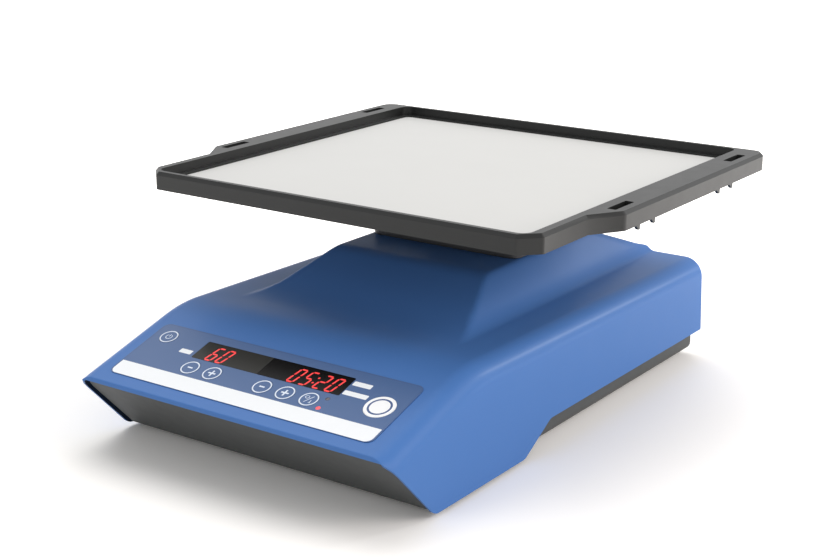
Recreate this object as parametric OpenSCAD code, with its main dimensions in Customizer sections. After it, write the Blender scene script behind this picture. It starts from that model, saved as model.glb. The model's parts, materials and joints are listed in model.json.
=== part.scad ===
// Rocking platform shaker: a tray on a cradle that a crank tips from side to side.
// Origin on the bench under the middle of the part; +Y to the rear, +Z up; millimetres.

/* [Cover] */
// Width of the cover at its lower edge
cover_w = 245; // [238:1:260]
// Length of the cover, from the front lip to the rear wall
cover_len = 390; // [382:1:400]
// Thickness of the cover's sheet
sheet_t = 2; // [1.5:0.1:2.4]
// Height of the front lip above the bench
lip_z = 50; // [46:0.5:54]
// Slope of the control panel, degrees
panel_angle = 17; // [15:0.5:19]
// Length of the panel slope, from the lip to the knee
panel_len = 92.5; // [88:0.5:100]
// Fall of the roof behind the knee, degrees
roof_fall = 0.7; // [0.3:0.1:1.2]
// Radius of the shoulders between roof and sides
shoulder_r = 14; // [10:0.5:15]
// Inward lean of the side walls, degrees
side_draft = 1.7; // [0.5:0.1:2.5]
// Gap between the bench and the skids at the front
skid_z = 3; // [2:0.5:4]
// Slope of the undercut below the front lip, degrees
undercut_angle = 46.5; // [43:0.5:50]
// Radius of the nose where the undercut meets the skid
nose_r = 10; // [6:0.5:14]
// Flat length of each skid behind the nose
skid_len = 98; // [80:1:110]
// Run of the slope from the skid up to the raised edge
step_run = 31; // [24:1:40]
// Rise of the slope from the skid up to the raised edge
step_h = 17; // [14:0.5:18]

/* [Hump] */
// Height of the flat top of the hump above the bench
hump_z = 100.5; // [98:0.5:104]
// Width of the flat top
hump_w = 123; // [118:1:128]
// Length of the flat top
hump_len = 135; // [130:1:142]
// Distance from the front lip to the flat top
hump_y = 188; // [184:1:190]
// Run of the hump's front slope
hump_front = 55; // [48:1:62]
// Run of the hump's rear slope
hump_rear = 72; // [68:1:80]
// Width of the hump's foot at its front corners
foot_front_w = 164; // [158:1:172]
// Width of the hump's foot at the rear wall
foot_rear_w = 154; // [148:1:160]

/* [Base pan] */
// Inset of the base pan from the cover's sides
pan_inset = 8.5; // [7:0.5:11]
// Wall thickness of the base pan
pan_t = 2.5; // [2:0.1:3]
// Height of the pan's side walls above its floor
pan_wall = 21; // [20:0.5:24]
// Radius of the pan's lower edges
pan_r = 5; // [4:0.5:8]
// Diameter of a rubber foot
foot_d = 18; // [14:0.5:20]
// Depth of a foot's seat in the pan's floor
foot_seat = 1; // [0.6:0.1:1.4]
// Distance between the feet across the base
foot_pitch_x = 184; // [170:1:186]
// Distance between the feet along the base
foot_pitch_y = 290; // [270:1:296]

/* [Control panel] */
// Width of the printed foil
foil_w = 204; // [196:1:206]
// Length of the foil along the slope
foil_len = 56.5; // [55:0.5:58]
// Distance from the lip to the foil
foil_s = 9.5; // [8:0.5:11]
// Thickness of the foil
foil_t = 0.5; // [0.3:0.05:0.8]
// Corner radius of the foil
foil_r = 5; // [3:0.5:8]
// Width of the display window
window_w = 116; // [112:1:118]
// Length of the display window along the slope
window_len = 18; // [17:0.5:18.5]
// Thickness of the display window
window_t = 1.6; // [1.2:0.1:2.2]
// Diameter of a round key
key_d = 12.6; // [11:0.1:13]
// Diameter of the start key
start_d = 19.6; // [17:0.1:21]
// Travel of a key
key_travel = 0.5; // [0.3:0.05:0.6]
// Gap round a key in its hole
key_gap = 0.2; // [0.1:0.05:0.3]
// Depth of the key board below the panel
board_drop = 9; // [8:0.5:11]

/* [Platform] */
// Width of the tray without its ears
tray_w = 302; // [290:1:314]
// Depth of the tray, front to rear
tray_d = 293.5; // [284:0.5:300]
// Height of the tray
tray_h = 12; // [11.5:0.1:13.5]
// Height of the tray's rim above the bench
tray_z = 158.5; // [156:0.5:164]
// Width of the rim at the sides
rim_side = 7.5; // [7:0.5:9]
// Width of the rim at front and rear
rim_end = 5; // [4:0.2:7]
// Height of the bevel round the rim
bevel_h = 2.3; // [1.5:0.1:3.5]
// How far each ear stands out from the side
ear_out = 13.5; // [12:0.5:15]
// Distance from the tray's front to the start of an ear
ear_start = 61.5; // [54:0.5:68]
// Length of an accessory slot
slot_len = 24; // [20:0.5:28]
// Width of an accessory slot
slot_w = 6; // [5:0.5:6.5]
// Distance between the two slots of an ear
slot_pitch = 163.5; // [150:0.5:166]
// Thickness of the mat
mat_t = 2.5; // [2:0.1:3]
// Depth of the mat's surface below the rim
mat_drop = 7.5; // [7:0.1:7.8]

/* [Rocking gear] */
// Height of the rocking axis above the hump
pivot_h = 23.5; // [22:0.5:24.5]
// Greatest tilt of the platform to each side, degrees
tilt = 7; // [5:0.5:8]
// Diameter of the cradle shaft
shaft_d = 10; // [8:0.5:11]
// Running clearance round a shaft or pin
run_gap = 0.05; // [0.02:0.01:0.09]
// Distance from the rocking axis to the connecting rod
lever_arm = 45; // [42:0.5:47]
// Distance between the rod's two eyes
rod_len = 72; // [68:0.5:74]
// Thickness of the connecting rod
rod_t = 8; // [6.5:0.5:9]
// Diameter of the pin in the rod's upper eye
pin_d = 6; // [5:0.5:6.5]
// Outer diameter of the rod's ball bearing
bearing_od = 19; // [17:0.5:21]
// Diameter of the gearbox
gearbox_d = 44; // [40:1:46]
// Length of the gearbox
gearbox_len = 30; // [26:1:32]
// Diameter of the motor
motor_d = 36; // [32:1:38]

/* [Hidden] */
$fn = 64;
eps = 0.01;
EXACT = 96;
cut = 1;
punch = 5;
over = 20;
screw_gap = 0.4;
thread_gap = 0.1;

// ---- cover ----
front_y = -cover_len / 2;
rear_y = cover_len / 2;
lip_t = 2.6;
knee_z = lip_z + panel_len * sin(panel_angle);
knee_y = front_y + panel_len * cos(panel_angle);
knee_soft = 4.5;
hump_front_y = front_y + hump_y;
hump_rear_y = hump_front_y + hump_len;
hump_under = hump_z - sheet_t;
edge_soft = 3;
crease_soft = 8;
arc_steps = 6;
knee_grid = [-15, -8, 0, 8, 15];
foot_grid = [-17, -9, 0, 9, 17];
front_grid = [-5, 0, 8];
rear_grid = [-9, 0, 5];
ridge_grid = [-4.6, -2.3, 0, 2.3];
crease_grid = [-5.5, -2.5, 0, 2.5, 6];
ridge_margin = 9;
last_grid = 12;
raised_z = skid_z + step_h;
under_z = lip_z - lip_t;
nose_y = front_y + (under_z - skid_z) / tan(undercut_angle);
skid_end_y = nose_y + skid_len;
rear_r = 4;
step_r = 10;

// ---- pan ----
pan_x = cover_w / 2 - pan_inset;
pan_fit = 0.4;
pan_rear_y = rear_y - sheet_t - pan_fit;
pan_floor = skid_z + pan_t;
pan_gap = 2;
pan_nose_r = 6;
pan_top_r = 5;
pan_lip_t = 3.5;
pan_neck_y = nose_y + 20;
pan_top = skid_z + pan_wall;
post_x = pan_x - 15;
post_ys = [knee_y + 46, rear_y - 65];
post_d = 8;
post_at = [for (x = [-post_x, post_x], y = post_ys) [x, y]];
post_z = pan_floor + 8;
post_sink = 4;
post_wall = 2.5;
post_screw_d = 4;
post_hole = 18;
cover_screw_len = 14;
foot_bevel = 1.3;
foot_taper = 0.2;
foot_xs = [-foot_pitch_x / 2, foot_pitch_x / 2];
foot_mid_y = (nose_y + pan_rear_y) / 2;
foot_ys = [foot_mid_y - foot_pitch_y / 2, foot_mid_y + foot_pitch_y / 2];

// ---- panel: x across, s up the slope from the lip ----
key_s = 31;
key_xs = [-51.5, -33.6, 6.3, 24, 42];
power_at = [-89.5, 53.5];
start_at = [87, 39.8];
window_at = [-1.2, 49.5];
led_at = [[52.6, 35.4], [52.6, 26]];
led_d = 3;
digit_split = 53;
board_t = 1.6;
board_w = foil_w - 8;
board_s = [20, 62];
cut_gap = 0.15;
foil_gap = 0.1;
window_r = 1;
module_in = 1;
module_gap = 0.3;
module_margin = 0.5;
flange_t = 1.2;
flange_out = 1.7;
flange_gap = 0.05;
key_seat = 0.1;
key_proud = 0.15;
stem_d = 5;
stem_gap = 0.1;
switch_h = 3.5;
switch_w = 6;
stud_d = 5;
stud_screw_d = 3;
nut_t = 1.5;
ribbon_plug = [24, 6, 5];
stud_at = [[-94, 24], [94, 24], [-72, 58], [70, 58]];

// ---- electronics on the pan ----
board_z = pan_floor + 8;
board_post_d = 7;
board_post_in = 6;
board_screw_d = 3;
board_screw_len = 6;
main_w = 130;
main_y = [-62, 8];
board_posts = [for (x = [-1, 1], y = [main_y[0] + board_post_in, main_y[1] - board_post_in])
    [x * (main_w / 2 - board_post_in), y]];
can_xs = [-44, -26];
can_y = -14;
can_d = 14;
can_h = 24;
chip_at = [6, -26];
chip = [16, 16, 3];
sink_at = [34, -30];
sink = [22, 30, 18];
sink_base = 2;
fin_t = 2;
fin_pitch = 7;
relay_at = [-54, -44];
relay = [12, 10, 11];
plug = [24, 6, 7];
plug_in = 1;
ribbon_s = 36;
ribbon_w = 20;
ribbon_t = 1.2;
ribbon_drop = 6;
ribbon_rise = 9;
ribbon_gap = 0.2;
socket_at = [-70, 38];
socket_hole = 9;
socket = [14, 13, 12];
socket_bore = 6.4;
socket_depth = 12;
socket_pin = 2;

// ---- platform ----
tray_y = rear_y - tray_d / 2;
tray_under = tray_z - tray_h;
tray_front_y = tray_y - tray_d / 2;
tray_corner = 11.5;
corner_soft = 3;
bevel_in = 2;
ear_x = tray_w / 2 + ear_out;
ear_front_y = tray_front_y + ear_start;
ear_blend = 22;
ear_front_r = 6;
ear_rear_r = 10;
slot_x = tray_w / 2 + 3.5;
slot_r = 0.8;
slot_mid_y = (ear_front_y + rear_y) / 2;
slot_ys = [slot_mid_y - slot_pitch / 2, slot_mid_y + slot_pitch / 2];
well_w = tray_w - 2 * rim_side;
well_d = tray_d - 2 * rim_end;
well_r = 7;
mat_top = tray_z - mat_drop;
mat_under = mat_top - mat_t;
mat_gap = 0.3;
mat_r = 5;
ledge_z = mat_top + 1.2;
ledge_w = 4;
seat_w = well_w - 2 * ledge_w;
seat_d = well_d - 2 * ledge_w;
floor_t = mat_under - tray_under;
hook_pitch = 20;
hook_pair = 113.5;
hook_mid_y = slot_mid_y - 10.5;
hook_ys = [for (a = [-1, 1], b = [-1, 1]) hook_mid_y + a * hook_pair / 2 + b * hook_pitch / 2];
hook_h = 3;
hook_len = 5;
hook_tip = 2;
hook_t = 2;
tray_screw_d = 3.5;
tray_head_d = 8;
tray_head_h = 1;

// ---- rocking gear ----
pivot_z = hump_z + pivot_h;
crank_throw = lever_arm * sin(tilt);
crank_x = lever_arm - crank_throw;
crank_z = pivot_z - rod_len;
rod_play = 0.5;
rod_w = 10;
rod_rim = 3.5;
eye_rim = 4.2;
rod_pocket = 2;
pocket_rim = 2;
pocket_end = 3;
pin_head = 1.5;
pin_head_t = 1.2;
pin_end = 1;
pin_gap = 0.3;
bearing_w = 6;
bearing_gap = 0.2;
bearing_groove = 0.5;
race_t = 2.25;
rod_slot = [20, 16];
rod_slot_r = 3;
collar_h = 1.5;
collar_t = 2;
saddle_y = [hump_front_y + 38, hump_rear_y - 7];
saddle_w = hump_w - 2;
saddle_t = 6;
saddle_r = 8;
saddle_screw_d = 4;
saddle_screw_in = [11, 7];
saddle_screw_at = [for (x = [-1, 1], y = [saddle_y[0] + saddle_screw_in[1], saddle_y[1] - saddle_screw_in[1]])
    [x * (saddle_w / 2 - saddle_screw_in[0]), y]];
head_sink = 2;
boss_r = 11;
lug_t = 12;
lug_foot = 24;
lug_ys = [saddle_y[0] + 11, saddle_y[1] - 7 - lug_t];
rod_y = (lug_ys[0] + lug_ys[1] + lug_t) / 2;
bush_t = 2;
bush_rim = 2;
bush_flange = 1.4;
shaft_end = 4;
clip_t = 1;
clip_gap = 0.3;
clip_rim = 2.5;
hub_t = 8;
hub_r = 9;
hub_foot = 22;
hub_at = [lug_ys[0] + lug_t + bush_flange + clip_gap, lug_ys[1] - bush_flange - clip_gap - hub_t];
cradle_w = 140;
cradle_y = [rod_y - 47, rod_y + 47];
cradle_t = 6;
cradle_z = tray_under - cradle_t;
cradle_r = 10;
cradle_screw_in = 10;
cradle_screw_at = [for (x = [-1, 1], y = [cradle_y[0] + cradle_screw_in, cradle_y[1] - cradle_screw_in])
    [x * (cradle_w / 2 - cradle_screw_in), y]];
rib_t = 3;
rib_in = [12, 4];
fork_t = 3.5;
fork_r = 7;
fork_y = rod_t / 2 + rod_play;
crank_gap = 3;
crank_t = 8;
crank_r = crank_throw + 8;
crank_seat = 1;
crank_front = rod_y + rod_t / 2 + crank_gap;
crank_shaft_d = 8;
crank_shaft_in = 11;
crank_screw_d = 3;
crank_screw_len = 5;
web_t = 3;
web_y = crank_front + crank_t + 2;
gear_y = web_y + web_t;
gear_pilot = 16;
gear_screw_r = 17;
gear_screw_d = 3;
gear_screw_len = 8;
gear_screw_at = [for (a = [45:90:315]) [crank_x + gear_screw_r * cos(a), crank_z + gear_screw_r * sin(a)]];
motor_gap = 9;
motor_len = rear_y - sheet_t - motor_gap - gear_y - gearbox_len;
motor_cap = 4;
motor_step = 2;
terminal = [3, 4, 0.8];
terminal_x = 8;
frame_w = 112;
frame_y = saddle_y[0] + 5;
frame_foot = 13;
frame_top = hump_under;
frame_back = saddle_y[1] - 2;
frame_screw_d = 4;
frame_screw_in = 12;
screw_short = 0.2;
frame_screw_at = [for (x = [-1, 1], y = [frame_y - frame_foot / 2, gear_y + frame_foot / 2])
    [x * (frame_w / 2 - frame_screw_in), y]];

// ---- helpers ----
function smin(a, b, k) = min(a, b) - pow(max(k - abs(a - b), 0), 2) / (4 * k);
function smax(a, b, k) = -smin(-a, -b, k);
function steep(m) = sqrt(1 + m * m);
function mix(a, b, t) = a + (b - a) * t;

module at_panel(x, s, h = 0)
    translate([0, front_y, lip_z]) rotate([panel_angle, 0, 0]) translate([x, s, h]) children();

module along_x(w)
    rotate([90, 0, 90]) translate([0, 0, -w / 2]) linear_extrude(w) children();

module along_y(y0, y1)
    translate([0, y1, 0]) rotate([90, 0, 0]) linear_extrude(y1 - y0) children();

module rod_along_y(d, y0, y1)
    translate([0, y1, 0]) rotate([90, 0, 0]) cylinder(d = d, h = y1 - y0, $fn = EXACT);

module both_sides() {
    children();
    mirror([1, 0, 0]) children();
}

module round_rect(w, d, r) {
    square([w - 2 * r, d], center = true);
    square([w, d - 2 * r], center = true);
    for (x = [-1, 1], y = [-1, 1])
        translate([x * (w / 2 - r), y * (d / 2 - r)]) circle(r, $fn = EXACT);
}

module round_slab(w, d, r, t)
    linear_extrude(t) round_rect(w, d, r);

// A socket-head screw standing on z = 0, with its shank below
module screw(d, len) {
    difference() {
        cylinder(d = d * 1.75, h = d * 0.8);
        translate([0, 0, d * 0.35]) cylinder(d = d, h = d, $fn = 6);
    }
    translate([0, 0, -len]) cylinder(d = d, h = len + eps);
}

// Corner b of an outline, rounded with radius r towards its neighbours a and c
function unit(v) = v / norm(v);
function flat(p) = [p[0], p[1]];
function arc_at(a, b, c, r) = r == 0 ? [b] :
    let (u = unit(a - b), v = unit(c - b), half = acos(u * v) / 2,
        mid = b + unit(u + v) * r / sin(half), reach = r / tan(half),
        p = b + u * reach - mid, q = b + v * reach - mid, turn = 180 - 2 * half)
    [for (i = [0:arc_steps])
        mid + (p * sin(turn * (1 - i / arc_steps)) + q * sin(turn * i / arc_steps)) / sin(turn)];
function rounded(path) = let (n = len(path))
    [for (i = [0:n - 1])
        each arc_at(flat(path[(i + n - 1) % n]), flat(path[i]), flat(path[(i + 1) % n]), path[i][2])];

// ---- the cover's form: heights of its skin, t below the outer face ----
foot_y = hump_front_y - hump_front;
function roof_line(y) = knee_z - (y - knee_y) * tan(roof_fall);
function panel_line(y) = lip_z + (y - front_y) * tan(panel_angle);
function roof(y, t) = smin(panel_line(y) - t / cos(panel_angle), roof_line(y) - t / cos(roof_fall), knee_soft);
front_slope = (hump_z - roof_line(foot_y)) / hump_front;
rear_slope = (hump_z - roof_line(rear_y)) / hump_rear;
function foot_x(y) = mix(foot_front_w, foot_rear_w, max(0, (y - foot_y) / (rear_y - foot_y))) / 2;
function side_slope(y) = (hump_z - roof_line(y)) / (foot_x(y) - hump_w / 2);
function end_fall(y) = max(0, (hump_front_y - y) * front_slope, (y - hump_rear_y) * rear_slope);
function hump(x, y, t) =
    let (m = side_slope(y),
        side = hump_z - (abs(x) - hump_w / 2) * m - t * steep(m),
        front = hump_z - (hump_front_y - y) * front_slope - t * steep(front_slope),
        rear = hump_z - (y - hump_rear_y) * rear_slope - t * steep(rear_slope))
    smin(smin(hump_z - t, side, edge_soft), smin(front, rear, edge_soft), edge_soft);
function skin(x, y, t) = smax(roof(y, t), hump(x, y, t), crease_soft);

// One cross-section at y, from the left lower edge over the roof to the right one
function ridge_x(y) = min(hump_w / 2 + end_fall(y) / side_slope(y), foot_x(y) - ridge_margin);
function roof_xs(y, end) = let (e = ridge_x(y), f = foot_x(y))
    concat([0], [for (d = ridge_grid) e + d], [for (d = crease_grid) f + d],
        [(f + crease_grid[4] + end) / 2, end]);
function half_section(y, t) =
    let (r = shoulder_r - t, zc = roof(y, t) - r,
        wall = cover_w / 2 - t / cos(side_draft),
        xc = wall - zc * tan(side_draft) - r / cos(side_draft))
    concat([for (x = roof_xs(y, xc)) [x, y, skin(x, y, t)]],
        [for (i = [1:arc_steps]) let (a = mix(90, side_draft, i / arc_steps))
            [xc + r * cos(a), y, zc + r * sin(a)]],
        [[wall + cut * tan(side_draft), y, -cut]]);
function section(y, t) = let (half = half_section(y, t), n = len(half))
    concat([for (i = [n - 1:-1:1]) [-half[i][0], half[i][1], half[i][2]]], half);
function stations(t) = concat([front_y - punch],
    [for (d = knee_grid) knee_y + d],
    [for (d = foot_grid) foot_y + d],
    [(foot_y + hump_front_y) / 2],
    [for (d = front_grid) hump_front_y + d],
    [(hump_front_y + hump_rear_y) / 2],
    [for (d = rear_grid) hump_rear_y + d],
    [(hump_rear_y + rear_y) / 2, rear_y - last_grid, rear_y - t]);

module loft(t) {
    ys = stations(t);
    rows = [for (y = ys) section(y, t)];
    n = len(rows[0]);
    last = len(ys) - 1;
    walls = [for (i = [0:last - 1], j = [0:n - 1])
        let (k = (j + 1) % n, a = i * n + j, b = i * n + k)
        each [[a, a + n, b + n], [a, b + n, b]]];
    polyhedron([for (row = rows) each row],
        concat(walls, [[for (j = [0:n - 1]) j]], [[for (j = [n - 1:-1:0]) last * n + j]]));
}

module side_outline()
    polygon(rounded([
        [front_y, hump_z + over, 0],
        [front_y, under_z, 0],
        [nose_y, skid_z, nose_r],
        [skid_end_y, skid_z, step_r],
        [skid_end_y + step_run, raised_z, step_r],
        [rear_y, raised_z, rear_r],
        [rear_y, hump_z + over, 0]]));

module rod_opening(z0, z1, grow = 0)
    translate([lever_arm, rod_y, z0])
        round_slab(rod_slot[0] + 2 * grow, rod_slot[1] + 2 * grow, rod_slot_r, z1 - z0);

module top_cover()
    color("steelblue") difference() {
        intersection() {
            loft(0);
            along_x(cover_w + 2 * punch) side_outline();
        }
        loft(sheet_t);
        rod_opening(hump_under - punch, hump_z + punch);
        for (p = saddle_screw_at) translate([p[0], p[1], hump_under - punch])
            cylinder(d = saddle_screw_d + screw_gap, h = sheet_t + 2 * punch);
        at_panel(window_at[0], window_at[1], -sheet_t - cut)
            round_slab(window_w + 2 * cut_gap, window_len + 2 * cut_gap, window_r, sheet_t + 2 * cut);
        for (p = key_places) at_panel(p[0], p[1], -sheet_t - cut)
            cylinder(d = p[2] + 2 * key_gap, h = sheet_t + 2 * cut);
        for (p = led_at) at_panel(p[0], p[1], -sheet_t - cut)
            cylinder(d = led_d + 2 * cut_gap, h = sheet_t + 2 * cut);
        translate([socket_at[0], 0, socket_at[1]])
            rod_along_y(socket_hole, rear_y - sheet_t - cut, rear_y + cut);
    }

// Threaded standoffs welded under the roof, cut to its slope
module cover_standoffs()
    color("silver") for (p = post_at) difference() {
        translate([p[0], p[1], post_z]) cylinder(d = post_d, h = knee_z);
        translate([p[0], knee_y, knee_z - sheet_t / cos(roof_fall)]) rotate([-roof_fall, 0, 0])
            translate([-post_d, 0, 0]) cube([2 * post_d, cover_len, knee_z]);
        translate([p[0], p[1], post_z - cut]) cylinder(d = post_screw_d + thread_gap, h = post_hole);
    }

module cover_screws()
    color("silver") for (p = post_at)
        translate([p[0], p[1], skid_z + post_sink]) rotate([180, 0, 0]) screw(post_screw_d, cover_screw_len);

// ---- base pan and feet ----
function undercut_y(z, inset) = front_y + (under_z - z) / tan(undercut_angle) + inset / sin(undercut_angle);
pan_lip_z = (lip_z + tan(panel_angle) * (under_z / tan(undercut_angle) + pan_gap / sin(undercut_angle))
    - sheet_t / cos(panel_angle) - pan_fit) / (1 + tan(panel_angle) / tan(undercut_angle));

module pan_outline()
    polygon(rounded([
        [pan_rear_y, pan_top, 0],
        [pan_rear_y, skid_z, pan_r],
        [undercut_y(skid_z, pan_gap), skid_z, pan_nose_r],
        [undercut_y(pan_lip_z, pan_gap), pan_lip_z, 0],
        [undercut_y(pan_lip_z, pan_gap) + pan_lip_t, pan_lip_z, 0],
        [pan_neck_y, pan_top, 0]]));

module pan_hollow_outline()
    polygon(rounded([
        [pan_rear_y - pan_t, hump_z, 0],
        [pan_rear_y - pan_t, pan_floor, pan_r - pan_t],
        [undercut_y(pan_floor, pan_gap + pan_t), pan_floor, pan_nose_r],
        [undercut_y(hump_z, pan_gap + pan_t), hump_z, 0]]));

module pan_section(half_w, floor_z, top_z, r, top_r = 0)
    polygon(rounded([
        [half_w, top_z, top_r],
        [half_w, floor_z, r],
        [-half_w, floor_z, r],
        [-half_w, top_z, top_r]]));

pan_flange_y = skid_end_y + step_run;
function inner_x(z) = cover_w / 2 - z * tan(side_draft) - sheet_t / cos(side_draft) - pan_fit;
pan_flange_x = inner_x(pan_top);
pan_front_x = inner_x(pan_lip_z);

// The trough of the pan, between the cheeks in front and narrower behind them
module pan_trough() difference() {
    intersection() {
        along_x(cover_w) pan_outline();
        union() {
            along_y(front_y, rear_y) pan_section(pan_x, skid_z, pan_lip_z, pan_r, pan_top_r);
            along_y(front_y, pan_neck_y)
                pan_section(pan_front_x, skid_z, pan_lip_z, pan_t, shoulder_r - sheet_t);
        }
    }
    intersection() {
        along_x(cover_w) pan_hollow_outline();
        union() {
            along_y(front_y, rear_y) pan_section(pan_x - pan_t, pan_floor, hump_z + cut, pan_r - pan_t);
            along_y(front_y, pan_neck_y - pan_t)
                pan_section(pan_front_x - pan_t, pan_floor, hump_z + cut, 0);
        }
    }
}

module base_pan()
    color("dimgray") difference() {
        union() {
            pan_trough();
            both_sides() translate([pan_x - cut, pan_flange_y, pan_top - pan_t])
                cube([pan_flange_x - pan_x + cut, pan_rear_y - pan_r - pan_flange_y, pan_t]);
            for (p = post_at) translate([p[0], p[1], skid_z + eps])
                cylinder(d = post_d + 2 * post_wall, h = post_z - skid_z - eps);
            for (p = board_posts) translate([p[0], p[1], pan_floor - cut])
                cylinder(d = board_post_d, h = board_z - pan_floor + cut);
        }
        for (p = post_at) translate([p[0], p[1], 0]) {
            cylinder(d = post_screw_d + screw_gap, h = post_z + cut);
            cylinder(d = 2 * post_screw_d + screw_gap, h = skid_z + post_sink);
        }
        for (x = foot_xs, y = foot_ys) translate([x, y, 0]) cylinder(d = foot_d, h = skid_z + foot_seat);
        for (p = board_posts) translate([p[0], p[1], board_z - board_screw_len])
            cylinder(d = board_screw_d + thread_gap, h = board_screw_len + cut);
        for (p = frame_screw_at) translate([p[0], p[1], 0])
            cylinder(d = frame_screw_d + thread_gap, h = pan_floor + cut);
    }

module rubber_feet()
    color("black") for (x = foot_xs, y = foot_ys) translate([x, y, 0])
        rotate_extrude($fn = EXACT) polygon([
            [0, 0], [foot_d / 2 - foot_taper - foot_bevel, 0], [foot_d / 2 - foot_taper, foot_bevel],
            [foot_d / 2, skid_z], [foot_d / 2, skid_z + foot_seat], [0, skid_z + foot_seat]]);

// ---- control panel ----
key_places = concat([for (x = key_xs) [x, key_s, key_d]],
    [[power_at[0], power_at[1], key_d], [start_at[0], start_at[1], start_d]]);

module control_foil()
    color("slategray") at_panel(0, foil_s + foil_len / 2) difference() {
        round_slab(foil_w, foil_len, foil_r, foil_t);
        translate([0, -foil_s - foil_len / 2, -cut]) {
            translate([window_at[0], window_at[1], 0])
                round_slab(window_w + foil_gap, window_len + foil_gap, window_r, foil_t + 2 * cut);
            for (p = key_places) translate([p[0], p[1], 0])
                cylinder(d = p[2] + 2 * key_gap, h = foil_t + 2 * cut);
            for (p = led_at) translate([p[0], p[1], 0])
                cylinder(d = led_d + foil_gap, h = foil_t + 2 * cut);
        }
    }

module display_window()
    color("black") at_panel(window_at[0], window_at[1], foil_t - window_t)
        round_slab(window_w - foil_gap, window_len - foil_gap, window_r, window_t);

// A seven-segment module from x0 to x1 along the window
module led_module(x0, x1)
    at_panel((x0 + x1) / 2, window_at[1], -board_drop)
        translate([-(x1 - x0) / 2, -window_len / 2 + module_margin, 0])
            cube([x1 - x0, window_len - 2 * module_margin, board_drop + foil_t - window_t]);

window_x0 = window_at[0] - window_w / 2 + module_in;
window_x1 = window_at[0] + window_w / 2 - module_in;

module speed_display() color("dimgray") led_module(window_x0, window_x0 + digit_split - module_gap);
module timer_display() color("dimgray") led_module(window_x0 + digit_split + module_gap, window_x1);

module status_leds()
    color("red") for (p = led_at) at_panel(p[0], p[1], -board_drop)
        cylinder(d = led_d, h = board_drop + foil_t);

module key_board()
    color("green") difference() {
        union() {
            at_panel(-board_w / 2, board_s[0], -board_drop - board_t)
                cube([board_w, board_s[1] - board_s[0], board_t]);
            for (p = key_places) at_panel(p[0] - switch_w / 2, p[1] - switch_w / 2, -board_drop - eps)
                cube([switch_w, switch_w, switch_h]);
            at_panel(-ribbon_plug[0] / 2, ribbon_s - ribbon_plug[1] / 2, -board_drop - board_t - ribbon_plug[2])
                cube(ribbon_plug + [0, 0, eps]);
        }
        for (p = stud_at) at_panel(p[0], p[1], -board_drop - board_t - cut)
            cylinder(d = stud_screw_d + thread_gap, h = board_t + 2 * cut);
    }

// Spacers between panel and key board, each with its screw
module key_board_screws()
    color("silver") for (p = stud_at) {
        at_panel(p[0], p[1], -board_drop) cylinder(d = stud_d, h = board_drop - sheet_t);
        at_panel(p[0], p[1], -board_drop - board_t) cylinder(d = stud_screw_d, h = board_t + eps);
        at_panel(p[0], p[1], -board_drop - board_t - nut_t) cylinder(d = stud_d, h = nut_t);
    }

// A key: cap through foil and sheet, flange below the sheet, stem over the switch
module key(p, d)
    color("lightsteelblue") at_panel(p[0], p[1]) {
        stem_end = -board_drop + switch_h + key_travel + stem_gap;
        flange_top = -sheet_t - flange_gap;
        cap_end = flange_top - key_seat;
        translate([0, 0, cap_end]) cylinder(d = d, h = foil_t + key_proud - cap_end);
        translate([0, 0, flange_top - flange_t]) cylinder(d = d + 2 * flange_out, h = flange_t);
        translate([0, 0, stem_end]) cylinder(d = stem_d, h = flange_top - stem_end);
    }

module speed_down_key() key([key_xs[0], key_s], key_d);
module speed_up_key() key([key_xs[1], key_s], key_d);
module time_down_key() key([key_xs[2], key_s], key_d);
module time_up_key() key([key_xs[3], key_s], key_d);
module mode_key() key([key_xs[4], key_s], key_d);
module power_key() key(power_at, key_d);
module start_key() key(start_at, start_d);

// ---- electronics on the pan ----
function panel_yz(s, h) =
    [front_y + s * cos(panel_angle) - h * sin(panel_angle),
        lip_z + s * sin(panel_angle) + h * cos(panel_angle)];

module main_board()
    color("green") translate([0, 0, board_z]) difference() {
        translate([-main_w / 2, main_y[0], 0]) cube([main_w, main_y[1] - main_y[0], board_t]);
        for (p = board_posts) translate([p[0], p[1], -cut])
            cylinder(d = board_screw_d + thread_gap, h = board_t + 2 * cut);
    }

module board_parts()
    color("dimgray") translate([0, 0, board_z + board_t]) {
        for (x = can_xs) translate([x, can_y, 0]) cylinder(d = can_d, h = can_h);
        translate([-plug[0] / 2, main_y[0] + plug_in, 0]) cube(plug);
        translate(chip_at) cube(chip);
        translate(sink_at) {
            cube([sink[0], sink[1], sink_base]);
            for (y = [0:fin_pitch:sink[1] - fin_t]) translate([0, y, 0]) cube([sink[0], fin_t, sink[2]]);
        }
        translate(relay_at) cube(relay);
    }

module board_screws()
    color("silver") for (p = board_posts)
        translate([p[0], p[1], board_z + board_t]) screw(board_screw_d, board_screw_len);

module ribbon_cable() {
    top = panel_yz(ribbon_s, -board_drop - board_t - ribbon_plug[2] - ribbon_gap);
    foot = [main_y[0] + plug_in + plug[1] / 2, board_z + board_t + plug[2]];
    half = ribbon_t / 2;
    color("lightgray") along_x(ribbon_w) polygon([
        top + [-half, 0], top + [-half, -ribbon_drop - 1], foot + [-half, ribbon_rise], foot + [-half, 0],
        foot + [half, 0], foot + [half, ribbon_rise + 1], top + [half, -ribbon_drop], top + [half, 0]]);
}

module power_socket()
    color("black") translate([socket_at[0], 0, socket_at[1]]) difference() {
        translate([-socket[0] / 2, rear_y - sheet_t - socket[1], -socket[2] / 2]) cube(socket);
        difference() {
            rod_along_y(socket_bore, rear_y - socket_depth, rear_y);
            rod_along_y(socket_pin, rear_y - socket_depth - cut, rear_y - sheet_t - cut);
        }
    }

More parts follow.
